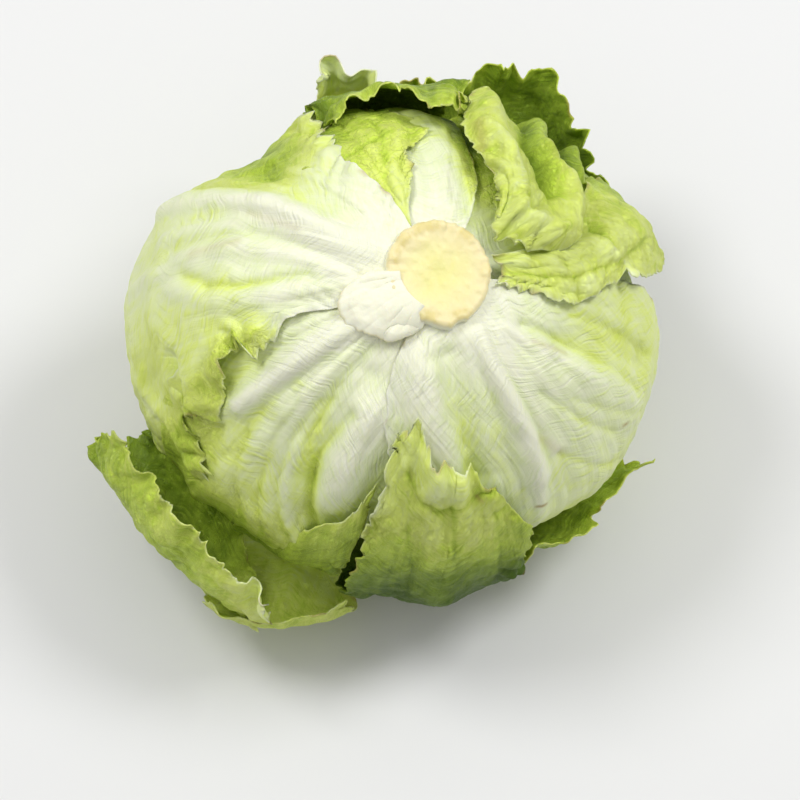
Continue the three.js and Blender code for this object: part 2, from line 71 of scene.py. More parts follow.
def noise(seed, *at):
    """Smooth noise from -1 to 1 over one, two or three coordinates, one bump to a unit."""
    cells = [np.floor(c).astype(np.int64) for c in at]
    parts = [c - np.floor(c) for c in at]
    eased = [p * p * p * (p * (p * 6 - 15) + 10) for p in parts]
    total = 0
    for corner in range(2 ** len(at)):
        mixed = np.full(np.shape(cells[0]), 1013 * seed + 77, np.int64)
        weight = 1
        for axis, (cell, ease) in enumerate(zip(cells, eased)):
            step = corner >> axis & 1
            mixed = (mixed ^ (cell + step)) * 668265263 & 0xFFFFFFFF
            mixed = (mixed ^ mixed >> 15) * 374761393 & 0xFFFFFFFF
            weight = weight * (ease if step else 1 - ease)
        total = total + weight * ((mixed ^ mixed >> 13 & 0xFFFFFFFF) % 65536 / 32767.5 - 1)
    return total


def through(values, t):
    """Catmull-Rom curve through evenly spaced values, running straight on past both ends."""
    values = np.asarray(values, float)
    last = len(values) - 1
    x = np.asarray(t, float) * last
    i = np.clip(np.floor(x).astype(int), 0, last - 1)
    f = x - i
    b, c = values[i], values[i + 1]
    a = np.where(i > 0, values[np.maximum(i - 1, 0)], 2 * b - c)
    d = np.where(i + 2 <= last, values[np.minimum(i + 2, last)], 2 * c - b)
    curve = b + 0.5 * f * (c - a + f * (2 * a - 5 * b + 4 * c - d + f * (3 * (b - c) + d - a)))
    return np.where((x < 0) | (x > last), b + f * (c - b), curve)


def direction(theta, phi):
    theta, phi = np.radians(theta), np.radians(phi)
    s = np.sin(theta)
    return np.stack([s * np.cos(phi), s * np.sin(phi), np.cos(theta) + 0 * phi], -1)


def ridge(height, width, *path):
    """A long low ridge, or a groove where the height is negative, along a path of [theta, phi]."""
    return height, width, [direction(theta, phi) for theta, phi in path]


def ridges_at(ridges, dirs):
    total = np.zeros(dirs.shape[:-1])
    for height, width, points in ridges:
        nearest = np.full(total.shape, 9.0)
        for a, b in zip(points, points[1:]):
            along = b - a
            t = np.clip((dirs - a) @ along / (along @ along), 0, 1)
            nearest = np.minimum(nearest, np.linalg.norm(dirs - a - t[..., None] * along, axis=-1))
        total += height * np.exp(-((nearest * HEAD_HALF_DEPTH / width) ** 2))
    return total


# Swells and hollows that every layer of the head shares
HEAD_RELIEF = [
    ridge(-8, 19, [62, 136], [78, 133], [96, 130]),
    ridge(-5, 20, [64, 46], [82, 50], [98, 48]),
    ridge(2.4, 5, [16, 160], [33, 156], [48, 152], [64, 152], [80, 156]),
    ridge(-1.8, 4, [24, 147], [38, 146], [53, 141], [64, 138]),
    ridge(-2.5, 9, [50, 206], [64, 209], [80, 212]),
    ridge(2.6, 4, [20, 213], [36, 214], [58, 213]),
    ridge(1.4, 3.5, [22, 226], [34, 224], [50, 222]),
    ridge(-2.2, 4, [30, 238], [46, 237], [62, 240]),
    ridge(2.8, 7, [38, 247], [52, 247], [62, 250]),
    ridge(2.4, 6, [24, 270], [36, 274], [50, 277]),
    ridge(-2, 3.5, [20, 280], [33, 284], [52, 287]),
    ridge(2, 4.5, [18, 302], [36, 303], [58, 304]),
    ridge(-2.2, 6, [36, 338], [48, 345], [64, 350]),
    ridge(1.8, 6, [34, 326], [50, 332], [68, 338]),
]


def fine_relief(dirs):
    """Small ribs that run down from the stem, and low dimples between them."""
    phi = np.degrees(np.arctan2(dirs[..., 1], dirs[..., 0]))
    theta = np.degrees(np.arccos(np.clip(dirs[..., 2], -1, 1)))
    x, y, z = (dirs * NOISE_RADIUS).transpose(2, 0, 1)
    fan = np.cos(np.radians(phi)) * 9, np.sin(np.radians(phi)) * 9
    ribs = noise(3, *fan, theta / 45) * 0.6 + noise(4, fan[0] * 2.4, fan[1] * 2.4, theta / 40) * 0.35
    dimples = noise(5, x / 9, y / 9, z / 9) * 0.4 + noise(6, x / 4.5, y / 4.5, z / 4.5) * 0.16
    return ribs * smooth((theta - 12) / 14) + dimples * smooth((theta - 25) / 25)


def relief_at(dirs):
    return ridges_at(HEAD_RELIEF, dirs) + fine_relief(dirs)


def ellipsoid_at(dirs):
    return 1 / np.linalg.norm(dirs / (HEAD_HALF_WIDTH, HEAD_HALF_DEPTH, HEAD_HALF_HEIGHT), axis=-1)


def lean():
    """The turn from the head's own axes to the frame's."""
    a, b = math.radians(TILT_FRONT), math.radians(TILT_RIGHT)
    about_x = np.array([[1, 0, 0], [0, math.cos(a), -math.sin(a)], [0, math.sin(a), math.cos(a)]])
    about_y = np.array([[math.cos(b), 0, math.sin(b)], [0, 1, 0], [-math.sin(b), 0, math.cos(b)]])
    return about_x @ about_y


LEAN = lean()


def to_frame(points):
    return (points @ LEAN.T + HEAD_AT) * MM


def mark(height, width, tone_and_painted_shade, *path):
    """A fold of the leaf as a ridge, which also turns it greener, or paler where the tint is negative:
    painted shade in its grooves and pockets and painted light on its crests, besides the leaf's own pale
    ribs and green patches.
    """
    return *ridge(height, width, *path), tone_and_painted_shade


# The leaves. Each follows its solid's rows, from the stem to the tip: [theta, phi at one side, phi at
# the other, height over the head]. "base" is the row at the stem, without its theta.
# "tip" moves the far margin by [theta, height] from side to side, from the share "tip_from" of the length
# on, and "ridges" are the solid's folds. The rest is this scene's own:
# "ruffle" and "sides": height and number of the waves at the far margin and at the side margins
# "ridges_from", "hidden": share of the length before its folds start, and under other leaves
# "marks", "wear": small folds with their tint, which paints shade into grooves and light onto crests
# besides the leaf's own pale ribs and green patches, and browned scratches
# "green": how green the leaf is, evenly from stem to tip, from 0, cream, to 1, dark; on some leaves it also
# holds painted shade
# "side_green", "sink": what both side margins add to that, and how far they lie lower
# "frill", "wave", "curl": depth of the margin's teeth, and height of its waves and of its small curls
# "plain_side": the side margin without teeth, 0 or 1
# "pucker": height of the blisters between the veins
# "cells": how many faces across and along
LEAVES = [
    dict(
        name="outer_leaf_left", slot="wrapper",
        base=[118, 204, 2.1],
        rows=[
            [22, 118, 202, 2.1], [33, 123, 197, 2.1], [44, 121, 203, 2.1], [51, 120, 200, 2.1],
            [58, 118, 206, 2.1], [66, 116, 212, 2.1], [72, 115, 207, 2.1], [78, 114, 218, 2.1],
            [86, 112, 221, 2.1], [96, 112, 210, 1.6], [110, 113, 204, -0.5], [134, 118, 198, -6],
        ],
        tip=[[-6, 0], [3, 0], [-3, 0], [5, 0], [-4, 0]], tip_from=0.8,
        ridges=[ridge(3.4, 6, [44, 201], [56, 204], [68, 207], [82, 215])],
        ruffle=[1, 5], sides=[1.2, 6],
        marks=[
            mark(0.9, 2.6, -0.14, [14, 166], [24, 159], [36, 155], [46, 154], [61, 155], [81, 157]),
            mark(-0.8, 2.6, 0.1, [18, 158], [30, 152], [41, 149], [52, 148], [66, 149], [82, 150]),
            mark(0.8, 2.2, -0.07, [15, 174], [34, 162], [44, 160], [55, 162], [72, 165]),
            mark(-0.7, 1.8, 0.05, [20, 178], [34, 167], [46, 164.5], [60, 167], [76, 170]),
            mark(0.9, 2.4, -0.07, [16, 183], [33, 172], [48, 169], [64, 172], [82, 176]),
            mark(-1.1, 1.7, 0.16, [62, 176], [55, 180], [45, 182], [37, 181], [30, 180]),
            mark(0.7, 2.4, -0.05, [66, 179], [56, 184], [46, 186], [34, 186]),
            mark(0, 9, 0.1, [82, 192], [66, 187], [50, 186]),
            mark(0, 12, 0.07, [36, 134], [60, 130], [84, 128]),
            mark(1.6, 2.6, 0.05, [44, 197], [50, 199], [56, 200]),
            mark(0, 5.5, 0.12, [44, 199], [56, 201], [68, 206], [80, 212]),
            mark(-3, 2.2, 0, [72, 208], [70, 200], [69, 194]),
            mark(0, 7, 0.02, [82, 212], [90, 208], [98, 202]),
            mark(1.8, 3, 0, [80, 216], [78, 206], [84, 196]),
        ],
        wear=[ridge(0.25, 1.2, [48, 168], [60, 171]), ridge(0.2, 1, [34, 161], [48, 158])],
        green=[0, 0.04, 0.12, 0.17, 0.21, 0.25, 0.28, 0.32, 0.38], side_green=[0.04, 0.12],
        frill=2.4, wave=1.6, curl=1.6, pucker=0.35, sink=[0, 1.1], hidden=0, cells=(170, 150),
    ),
    dict(
        name="outer_leaf_right", slot="wrapper",
        base=[246, 358, 2.1],
        rows=[
            [22, 246, 360, 2.1], [34, 251, 364, 2.1], [48, 259, 367, 2.1], [62, 262, 367, 2.1],
            [76, 265, 365, 2.1], [90, 267, 362, 2.1], [104, 268, 360, 0.6], [120, 272, 358, -3],
        ],
        tip=[[-26, 0], [-26, 0], [-25, 0], [-20, 0], [0, 0], [14, -3], [12, -3]], tip_from=0.45,
        ridges=[],
        ruffle=[0.7, 7], sides=[0.5, 6],
        marks=[
            mark(1.3, 2.2, -0.14, [14, 309], [25, 303], [38, 305], [46, 306], [65, 305], [84, 304]),
            mark(-0.8, 1.8, 0.07, [18, 303], [27, 298], [40, 300], [60, 300]),
            mark(1, 1.8, -0.1, [15, 323], [26, 313], [39, 312], [54, 313]),
            mark(-0.7, 1.6, 0.07, [17, 315], [26, 309], [40, 309], [56, 309]),
            mark(-1.3, 3, 0.13, [21, 270], [32, 278], [41, 283], [52, 285], [70, 286]),
            mark(0.8, 4, -0.08, [18, 252], [30, 262], [46, 268]),
            mark(0.9, 1.8, -0.08, [20, 324], [28, 328], [40, 333], [51, 335]),
            mark(-1, 1.6, 0.12, [24, 334], [36, 339], [50, 341], [66, 342]),
            mark(-0.8, 1.4, 0.09, [38, 317], [52, 323], [66, 330]),
            mark(-0.7, 1.4, 0.08, [46, 325], [60, 333], [74, 340]),
            mark(-0.7, 1.4, 0.08, [56, 313], [70, 322], [82, 330]),
            mark(-0.8, 1.6, 0.08, [36, 350], [52, 352], [68, 352]),
        ],
        wear=[
            ridge(0.3, 0.8, [28, 329], [38, 335]), ridge(0.9, 0.7, [69, 304], [70, 306]),
            ridge(0.8, 0.6, [67, 333], [67.5, 334]), ridge(0.22, 1.5, [48, 309], [56, 314]),
        ],
        green=[0, 0.08, 0.16, 0.2, 0.22, 0.26, 0.3, 0.35, 0.42], side_green=[-0.04, 0.1],
        frill=0.6, curl=0.4, pucker=0.3, sink=[1.3, 0], hidden=0, cells=(155, 140),
    ),
    dict(
        name="outer_leaf_lower_left", slot="wrapper",
        base=[194, 262, -0.1],
        rows=[
            [26, 192, 262, -0.1], [42, 190, 264, -0.1], [58, 194, 263, 0.3], [72, 198, 260, 1.6],
            [84, 204, 256, 3.6], [94, 210, 252, 3.6],
        ],
        tip=[[-5, 0], [0, 0], [-1, 0], [0, 0], [-4, 0]], tip_from=0.6,
        ridges=[],
        ruffle=[0.3, 4], sides=[0.2, 3],
        marks=[
            mark(1.1, 3, -0.14, [20, 218], [30, 213], [43, 212], [53, 212], [64, 212]),
            mark(-0.7, 2.6, 0.1, [24, 222], [33, 218], [47, 217], [58, 218], [70, 221]),
            mark(-1.1, 2.6, 0.13, [24, 229], [34, 227], [43, 231], [54, 235], [62, 240], [72, 245]),
            mark(1.2, 5, -0.05, [32, 238], [46, 244], [57, 248]),
            mark(-0.6, 1.3, 0.1, [42, 228], [55, 230], [67, 234], [77, 239], [88, 246]),
            mark(0.5, 2, -0.04, [40, 229.5], [54, 231.5], [65, 235.5], [76, 241], [86, 248]),
            mark(-0.6, 1.3, 0.1, [40, 231], [52, 233], [64, 237], [75, 243], [84, 250]),
            mark(-0.5, 1.4, 0.1, [45, 223], [58, 226], [72, 231], [87, 238]),
            mark(-0.5, 1.4, 0.08, [62, 220], [74, 225], [86, 233]),
            mark(-1.8, 2, 0.16, [40, 241], [54, 239], [62, 241], [70, 244], [76, 248]),
            mark(0, 9, 0.06, [62, 206], [75, 213], [88, 226], [94, 240]),
            mark(0, 5, 0.14, [56, 254], [66, 252]),
        ],
        green=[0, 0.07, 0.13, 0.19, 0.29, 0.42, 0.55], side_green=[0.15, 0.04],
        frill=0.8, curl=0.3, pucker=0.25, hidden=0, cells=(150, 130),
    ),
    dict(
        name="folded_leaf_upper_left", slot="lime_leaf",
        base=[114, 130, -0.1],
        rows=[
            [22, 106, 134, -0.1], [30, 99, 136, -0.1], [38, 97, 136, 0.6], [46, 88, 134, 1],
            [57, 94, 130, 0.2], [70, 99, 126, -0.1], [82, 102, 122, -0.1],
        ],
        tip=[[-3, 0], [2, 0], [-2, 0]], tip_from=0.6,
        ridges=[],
        ruffle=[0.4, 4], sides=[0.5, 5],
        marks=[
            mark(1, 1.8, -0.05, [20, 112], [32, 108], [44, 98]),
            mark(-0.9, 1.4, 0.1, [30, 112], [42, 106], [52, 104]),
            mark(-0.6, 0.9, 0.1, [40, 132], [41, 120], [43, 108]),
            mark(-0.6, 0.9, 0.1, [52, 130], [52, 118], [50, 106]),
        ],
        green=[0.4, 0.42, 0.46, 0.5, 0.54, 0.6, 0.66], side_green=[0, 0.04],
        frill=1.6, wave=0.4, curl=0.8, pucker=0.45, hidden=0, cells=(90, 90),
    ),
    dict(
        name="midrib_leaf_top", slot="wrapper",
        base=[58, 116, -2.3],
        rows=[
            [22, 61, 116, -2.3], [34, 66, 116, -2.3], [46, 73, 116, -2.3], [58, 76, 116, -2.3],
            [70, 78, 116, -2.3], [84, 80, 112, -2.3],
        ],
        tip=[[-2, 0], [2, 0], [-2, 0]], tip_from=0.6,
        ridges=[ridge(2.2, 8, [12, 84], [25, 85], [38, 86], [50, 88], [62, 90], [76, 92])],
        ruffle=[0.3, 3], sides=[0.3, 3],
        green=[0, 0.06, 0.16, 0.26, 0.36, 0.46, 0.56], side_green=[0.36, 0.2],
        frill=0.3, curl=0.3, pucker=0.25, hidden=0, cells=(80, 80),
    ),
    dict(
        name="inner_leaf_upper_right", slot="wrapper",
        base=[-18, 74, -4.5],
        rows=[[30, -18, 78, -4.5], [48, -16, 82, -4.5], [66, -8, 83, -4.5], [82, -2, 84, -4.5]],
        tip=[[-2, 0], [2, 0], [-2, 0]], tip_from=0.6,
        ridges=[],
        ruffle=[0.3, 4], sides=[0.2, 3],
        green=[0.1, 0.42, 0.6, 0.66, 0.66], side_green=[0, 0.1],
        frill=0.6, curl=0.3, pucker=0.25, hidden=0, cells=(60, 50),
    ),
    dict(
        name="crumpled_leaf_upper_right", slot="lime_leaf",
        base=[40, 74, -6.7],
        rows=[
            [40, 40, 76, -6.7], [66, 41, 79, -6.7], [84, 41, 79, -6.2], [92, 38, 77, -1], [92, 36, 75, 5],
            [83, 35, 74, 6.5], [73, 34, 74, 6], [62, 34, 75, 5.5], [51, 34, 76, 5], [40, 27, 76, 4.5],
            [30, 17, 66, 4], [20, 19, 50, 3.5],
        ],
        tip=[[3, -1], [0, 0], [-3, 0], [-1, 0], [4, -1]], tip_from=0.8,
        ridges=[
            ridge(5.5, 5, [62, 71], [45, 69], [36, 61], [29, 50], [25, 39], [27, 26]),
            ridge(-3.5, 3, [80, 63], [66, 61], [51, 55], [44, 46], [40, 40]),
            ridge(5.5, 4.4, [80, 57], [59, 57], [48, 48], [43, 37], [38, 29], [32, 23]),
            ridge(-3, 2.4, [78, 52], [66, 48], [55, 40]),
            ridge(5, 3, [84, 46], [70, 47], [57, 41]),
        ], ridges_from=0.42,
        ruffle=[0.8, 4], sides=[0.8, 5], plain_side=0,
        marks=[
            mark(1.5, 5, -0.06, [60, 71], [45, 69], [36, 61], [29, 50], [25, 39], [27, 26]),
            mark(-3.5, 2.8, 0.24, [70, 61], [51, 55], [44, 46], [39, 39]),
            mark(1.4, 3.4, -0.05, [59, 57], [48, 48], [43, 37], [36, 27]),
            mark(-3, 1.8, 0.22, [74, 52], [64, 47], [54, 39]),
            mark(1.4, 2.2, -0.04, [72, 47], [58, 41]),
            mark(-2.6, 1.6, 0.12, [29, 41], [28, 37]),
            mark(-1, 1.2, 0.1, [36, 66], [33, 61], [33, 56]),
            mark(-0.9, 1.4, 0.08, [46, 72], [43, 66], [42, 62]),
            mark(-0.9, 1.4, 0.08, [25, 52], [26, 46], [28, 43]),
        ],
        wear=[ridge(0.35, 1.4, [44, 73], [36, 70]), ridge(0.25, 1.2, [30, 65], [24, 58])],
        green=[0.3, 0.5, 0.58, 0.57, 0.51, 0.46, 0.44, 0.43], side_green=[0.02, 0.04],
        frill=1.3, wave=1, curl=1.2, pucker=0.5, hidden=0.3, cells=(140, 160),
    ),
    dict(
        name="folded_leaf_right", slot="lime_leaf",
        base=[-6, 18, -6.7],
        rows=[
            [45, -4, 22, -6.7], [72, 0, 28, -6.7], [86, 10, 32, -6.2], [93, 16, 34, -2], [92, 20, 37, 3.4],
            [83, 19, 38, 5.6], [72, 15, 38, 7], [60, 8, 38, 7.8], [50, 7, 35, 6.6], [41, 0, 28, 5],
            [33, -7, 22, 4], [25, -7, 20, 3.4], [17, -8, 20, 3.4],
        ],
        tip=[[-3, 0], [-1, 0], [-3, 0]], tip_from=0.8,
        ridges=[ridge(1.6, 5, [78, 24], [60, 22], [44, 14]), ridge(1.4, 4, [28, 10], [35, 7], [40, 0])],
        ridges_from=0.4,
        ruffle=[0.6, 3], sides=[0.8, 6], plain_side=1,
        marks=[
            mark(-0.9, 1, 0.14, [16, 4], [26, 3], [34, 4], [46, 10], [60, 18]),
            mark(-0.7, 1, 0.12, [30, 12], [34, 5], [36, 356]),
            mark(-0.7, 1, 0.12, [44, 24], [47, 14], [47, 3]),
            mark(1.6, 3.4, -0.05, [30, 15], [40, 18], [45, 13], [49, 7]),
            mark(-1.8, 2, 0.14, [24, 14], [36, 19], [46, 22]),
            mark(1.3, 3, -0.04, [52, 30], [66, 26]),
        ],
        green=[0.3, 0.5, 0.6, 0.6, 0.52, 0.43, 0.4, 0.38, 0.36], side_green=[-0.02, 0.05],
        frill=1.8, wave=0.5, curl=1.1, pucker=0.55, hidden=0.26, cells=(105, 145),
    ),
    dict(
        name="frilled_leaf_top", slot="green_leaf",
        base=[86, 110, -6.7],
        rows=[
            [45, 87, 111, -6.7], [70, 85, 111, -6.7], [84, 83, 111, -6.2], [91, 80, 112, -2],
            [90, 78, 113, 3], [82, 77, 114, 6.4], [72, 77, 115, 7.6], [62, 78, 115, 9],
        ],
        tip=[[-12, 0], [-16, 1], [-15, 0], [-7, 0], [-3, -2], [-4, -4], [-7, -6]], tip_from=0.45,
        ridges=[],
        ruffle=[0.8, 5], sides=[0.8, 4],
        green=[0.3, 0.5, 0.75, 0.85, 0.84, 0.76, 0.58], side_green=[0, 0],
        frill=1.6, wave=2.2, curl=1.8, pucker=0.5, hidden=0.4, cells=(115, 95),
    ),
    dict(
        name="flared_leaf_top", slot="green_leaf",
        base=[40, 110, -8.9],
        rows=[
            [45, 38, 110, -8.9], [70, 36, 108, -8.9], [86, 34, 106, -8.9], [97, 33, 106, -5],
            [102, 32, 106, 4], [98, 31, 106, 12], [89, 31, 106, 14.5],
        ],
        tip=[
            [-2, -6], [-4, -4], [-2, -3], [-1, -1], [-4, 5], [-2, 7], [-3, 10], [-4, 13], [-2, 11], [-4, 8],
            [-2, 3], [-3, 0], [-1, -2], [-3, -3], [-1, -4], [-3, -5], [-1, -1], [-2, 3], [-3, -1],
        ], tip_from=0.55,
        ridges=[],
        ruffle=[0.6, 9], sides=[1, 4],
        # Painted light: a paler patch on the lobe at the top left, which lies in shade
        marks=[mark(0, 8, -0.36, [84, 101], [92, 102])],
        green=[0.3, 0.5, 0.82, 0.86, 0.72, 0.56], side_green=[0, -0.08],
        frill=2, wave=2.2, curl=1.8, pucker=0.7, hidden=0.4, cells=(170, 100),
    ),
    dict(
        name="rim_leaf_lower_right", slot="lime_leaf",
        base=[260, 298, -4.5],
        rows=[
            [45, 260, 298, -4.5], [74, 260, 298, -4.5], [94, 260, 298, -4.5], [104, 260, 298, -2],
            [110, 260, 299, 4.5], [106, 260, 300, 9.5], [96, 260, 300, 9.5], [84, 259, 300, 8],
            [72, 258, 300, 7], [60, 258, 300, 6.4],
        ],
        tip=[[-22, 0], [-26, 0], [-19, 0], [-15, 0], [-14, 0], [-10, 0], [-2, 0], [12, 0]], tip_from=0.7,
        ridges=[ridge(4, 9, [112, 283], [104, 283], [96, 282])], ridges_from=0.35,
        ruffle=[0.7, 5], sides=[0.7, 5],
        marks=[
            mark(0.9, 4, -0.03, [42, 266], [48, 272], [50, 282], [52, 290]),
            mark(-0.9, 1.1, 0.14, [46, 264], [54, 270], [58, 276], [56, 284], [53, 291]),
            mark(-0.6, 0.9, 0.12, [56, 279], [73, 281], [98, 285]),
            mark(-0.5, 0.9, 0.08, [62, 268], [78, 272], [96, 274]),
            mark(-0.5, 0.9, 0.08, [60, 290], [78, 293], [94, 294]),
            mark(0.8, 3, -0.03, [60, 274], [78, 277], [96, 280]),
        ],
        wear=[ridge(0.6, 0.7, [55, 286], [56, 287]), ridge(0.5, 0.8, [33, 259], [36, 261])],
        # Partly painted shade: besides its own green, this leaf is darkest where it turns under at the
        # lower front, for the shade there
        green=[0.3, 0.5, 0.9, 1, 1.08, 1.08, 0.92, 0.48, 0.44], side_green=[-0.04, 0.2],
        frill=1.7, wave=1.3, curl=1.4, pucker=0.55, hidden=0.34, cells=(140, 135),
    ),
    dict(
        name="rim_leaf_lower_left", slot="lime_leaf",
        base=[236, 257, -4.5],
        rows=[
            [45, 234, 257, -4.5], [74, 232, 257, -4.5], [92, 231, 257, -4.5], [101, 230, 258, -3],
            [107, 230, 258, 1], [104, 231, 258, 5], [96, 232, 258, 5.4], [88, 233, 257, 4.4],
        ],
        tip=[[4, -5], [3, -5], [-5, -3], [-16, 0], [-22, 0], [-35, 0]], tip_from=0.6,
        ridges=[],
        ruffle=[0.2, 4], sides=[0.2, 3],
        green=[0.3, 0.5, 0.8, 0.84, 0.76, 0.66, 0.52], side_green=[0, 0],
        frill=1, wave=0.7, curl=0.7, pucker=0.35, hidden=0.38, cells=(85, 85),
    ),
    dict(
        name="rim_leaf_bottom", slot="lime_leaf",
        base=[240, 257, -6.7],
        rows=[
            [45, 238, 257, -6.7], [74, 234, 257, -6.7], [96, 230, 260, -6.7], [108, 230, 264, -2],
            [116, 232, 266, 8], [115, 234, 266, 19], [108, 236, 264, 24], [101, 237, 262, 22],
        ],
        tip=[[0, 5], [0, 5], [-1, 2], [-2, -3], [-2, -9]], tip_from=0.5,
        ridges=[],
        ruffle=[0.5, 3], sides=[0.4, 3],
        green=[0.3, 0.38, 0.38, 0.4, 0.48, 0.52], side_green=[0, 0],
        frill=1.2, curl=0.9, pucker=0.4, hidden=0.38, cells=(80, 75),
    ),
    dict(
        name="rim_leaf_right", slot="green_leaf",
        base=[301, 332, -6.7],
        rows=[
            [45, 301, 333, -6.7], [74, 301, 333, -6.7], [95, 302, 333, -6.7], [107, 302, 334, -4],
            [109, 301, 335, 0], [104, 300, 336, 3.6], [97, 300, 336, 4.6],
        ],
        tip=[[-4, 2], [-8, 2], [-5, 3], [-4, 6], [-2, 3], [-4, 2.5], [-4, 2.5], [-8, 5]], tip_from=0.6,
        ridges=[],
        ruffle=[0.7, 4], sides=[0.6, 3],
        green=[0.3, 0.5, 0.8, 0.8, 0.7, 0.6], side_green=[0, 0],
        frill=1.4, wave=0.5, curl=1.2, pucker=0.4, hidden=0.42, cells=(95, 70),
    ),
    dict(
        name="flared_leaf_lower_left", slot="green_leaf",
        base=[206, 234, -4.5],
        rows=[
            [45, 204, 233, -4.5], [74, 202, 231, -4.5], [94, 201, 231, -4.5], [105, 201, 232, -1],
            [111, 201, 239, 9], [110, 200, 244, 20], [103, 200, 247, 24], [95, 200, 247, 22],
            [89, 202, 246, 17],
        ],
        tip=[[2, -7], [0, -4], [-4, -2], [-2, 1], [1, 2]], tip_from=0.45,
        ridges=[],
        ruffle=[1.4, 6], sides=[1, 4],
        # Painted shade: the hollow inside this leaf is a darker green for the shade that falls in it
        green=[0.3, 0.5, 0.74, 0.76, 0.7, 0.6, 0.5], side_green=[0.1, -0.16],
        frill=1.6, wave=1.6, curl=1.6, pucker=0.6, hidden=0.34, cells=(135, 120),
    ),
    dict(
        name="wrapper_leaf_front", slot="wrapper",
        base=[192, 346, -11.2],
        rows=[
            [45, 190, 348, -11.2], [75, 190, 350, -11.2], [95, 190, 350, -11.2], [112, 193, 350, -10.4],
            [130, 197, 348, -9], [148, 201, 344, -8],
        ],
        tip=[[-6, 0], [2, 0], [-3, 0], [2, 0], [-3, 0], [1, 0], [-6, 0]], tip_from=0.6,
        ridges=[],
        ruffle=[0.5, 8], sides=[0.5, 5],
        green=[0.1, 0.3, 0.4, 0.4, 0.38, 0.4], side_green=[0, 0],
        frill=1.6, curl=0.6, pucker=0.4, hidden=0.4, cells=(90, 65),
    ),
    dict(
        name="wrapper_leaf_back", slot="wrapper",
        base=[2, 134, -11.2],
        rows=[
            [45, 2, 136, -11.2], [75, 2, 136, -11.2], [95, 2, 136, -11.2], [112, 2, 136, -10.4],
            [130, 4, 134, -9], [150, 10, 130, -8],
        ],
        tip=[[-6, 0], [2, 0], [-3, 0], [2, 0], [-3, 0], [1, 0], [-6, 0]], tip_from=0.6,
        ridges=[],
        ruffle=[0.5, 8], sides=[0.5, 5],
        green=[0.1, 0.3, 0.4, 0.4, 0.38, 0.4], side_green=[0, 0],
        frill=1.6, curl=0.6, pucker=0.4, hidden=0.4, cells=(80, 65),
    ),
]


def net_surface(leaf, index, u, v):
    """The solid's surface through its rows, with this scene's finer folds, its tint of own colour and
    painted shade and light, and its wear.
    """
    base_theta = math.degrees(math.asin(LEAF_BASE_RADIUS / (HEAD_HALF_HEIGHT + leaf["base"][2])))
    rows = np.array([[base_theta, *leaf["base"]], *leaf["rows"]], float)
    near_tip = smooth((v - leaf["tip_from"]) / (1 - leaf["tip_from"]))
    near_side = smooth((np.abs(2 * u - 1) - 0.7) / 0.3) * smooth((v - 0.15) / 0.2)
    theta = through(rows[:, 0], v) + near_tip * through([t[0] for t in leaf["tip"]], u)
    phi_a, phi_b = through(rows[:, 1], v), through(rows[:, 2], v)
    height = through(rows[:, 3], v) + near_tip * through([t[1] for t in leaf["tip"]], u)
    ruffle, ruffle_waves = leaf["ruffle"]
    side_ruffle, side_waves = leaf["sides"]
    height = height + smooth((v - 0.82) / 0.18) * ruffle * np.sin(u * ruffle_waves * 2 * np.pi + index)
    height = height + near_side * side_ruffle * np.sin(v * side_waves * 2 * np.pi + index)
    sink_a, sink_b = leaf.get("sink", [0, 0])
    height = height - sink_a * smooth(1 - u / 0.14) - sink_b * smooth((u - 0.86) / 0.14)
    dirs = direction(theta, phi_a + (phi_b - phi_a) * u)
    shown = smooth((v - leaf.get("ridges_from", 0)) * 8)
    marks = leaf.get("marks", [])
    folds = ridges_at(leaf["ridges"], dirs) + ridges_at([m[:3] for m in marks], dirs)
    relief = relief_at(dirs)
    radius = ellipsoid_at(dirs) + relief + height + shown * folds
    # Painted shade and light: hollows of the head's relief turn greener and its swells paler, on top of the
    # marks' tints
    tone_and_painted_shade = shown * ridges_at([(m[3], m[1], m[2]) for m in marks], dirs) - 0.045 * relief
    wear = ridges_at(leaf.get("wear", []), dirs)
    return dirs * radius[..., None], dirs, tone_and_painted_shade, wear


def length_along(points, axis):
    """Distance run along the grid lines of one axis, in millimetres."""
    steps = np.linalg.norm(np.diff(points, axis=axis), axis=-1)
    return np.concatenate([np.zeros_like(np.take(steps, [0], axis)), np.cumsum(steps, axis)], axis)


def unit(vectors):
    return vectors / (np.linalg.norm(vectors, axis=-1, keepdims=True) + 1e-9)


def saw(seed, x):
    """Uneven teeth from -1 to 1, sharp outwards and rounded inwards."""
    coarse = 1 - 2.6 * np.abs(noise(seed, x / 4.2))
    fine = 1 - 2.6 * np.abs(noise(seed + 1, x / 1.9))
    return (coarse + 0.5 * fine) * (0.45 + 0.55 * noise(seed + 2, x / 13) ** 2 * 2)


